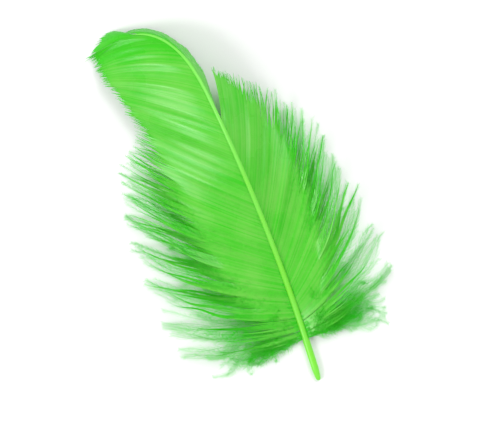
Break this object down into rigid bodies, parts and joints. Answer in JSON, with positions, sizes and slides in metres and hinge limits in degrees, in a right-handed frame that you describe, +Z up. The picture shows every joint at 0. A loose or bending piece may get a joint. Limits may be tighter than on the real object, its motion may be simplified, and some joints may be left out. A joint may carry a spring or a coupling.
{
  "type": "feather",
  "caption": "Small dyed body feather with a curled tip, a smooth vane on each side of its shaft and loose downy barbs at the base; lies flat as a decoration.",
  "frame": {"origin": "on the surface that the feather lies on, under the middle of its bare quill", "axes": "+Y along the quill towards the tip of the feather, +Z up from the surface, +X to the right of the shaft; the tip curls towards -X"},
  "size_m": [0.042, 0.0694, 0.0098],
  "materials": {
    "feather": "dyed bright green keratin barbs, silky sheen on the vanes, matt down at the base"
  },
  "bodies": {
    "root": {"feather": "feather"}
  },
  "joints": []
}
